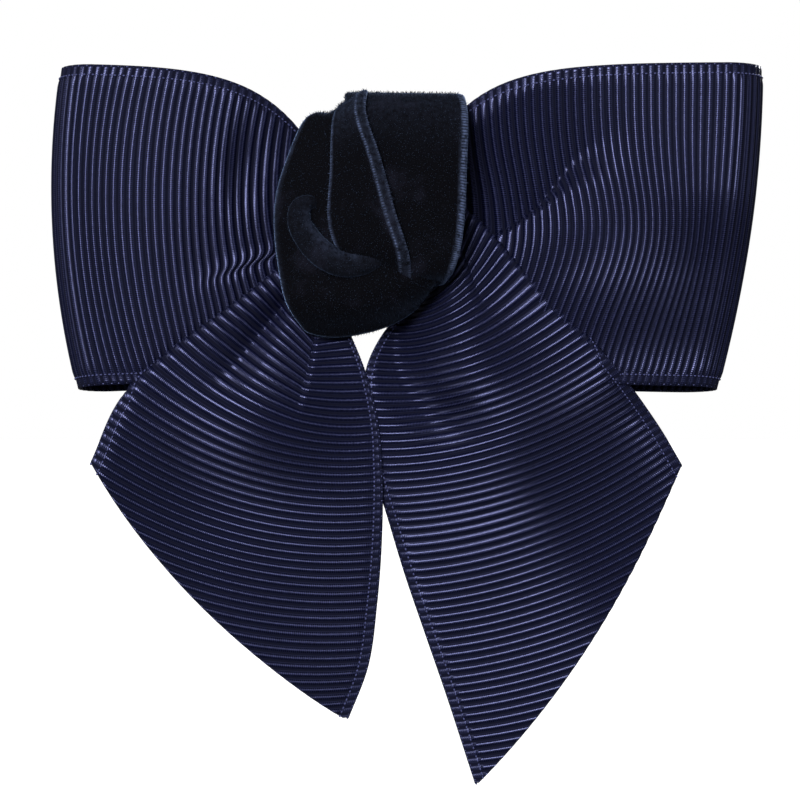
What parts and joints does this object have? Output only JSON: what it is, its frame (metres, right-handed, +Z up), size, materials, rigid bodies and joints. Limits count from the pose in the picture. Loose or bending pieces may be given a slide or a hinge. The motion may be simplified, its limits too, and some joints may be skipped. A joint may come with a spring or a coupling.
{
  "type": "hair bow",
  "caption": "Wide grosgrain ribbon bow with two loops, two slanted tails and a knotted velvet centre, on a sprung alligator hair clip.",
  "frame": {"origin": "where the closed jaws meet the hair, in line with the middle of the knot", "axes": "-Y towards the front of the bow, +Z up as worn, +X towards the clip's hinge and finger tabs"},
  "size_m": [0.1105, 0.0326, 0.112],
  "materials": {
    "grosgrain": "ribbed satin-sheen navy ribbon",
    "velvet": "short midnight-blue pile",
    "thread": "twisted navy thread",
    "clip_steel": "bright nickel-plated sheet",
    "spring_wire": "drawn spring wire"
  },
  "bodies": {
    "bow": {"left_loop": "grosgrain", "right_loop": "grosgrain", "left_tail": "grosgrain", "right_tail": "grosgrain", "gather_thread": "thread", "velvet_knot": "velvet", "clip_lining": "grosgrain", "upper_jaw": "clip_steel", "hinge_pin": "clip_steel", "torsion_spring": "spring_wire"},
    "grip_jaw": {"lower_jaw": "clip_steel"}
  },
  "joints": [
    {"name": "clip_hinge", "type": "hinge", "parent": "bow", "child": "grip_jaw", "pos_m": [0.013, 0.0016, 0], "axis": [0, 0, -1], "range_deg": [0, 30], "stiffness_Nm_per_rad": 0.02, "springref_deg": -20.05, "deforming": ["torsion_spring"]}
  ]
}
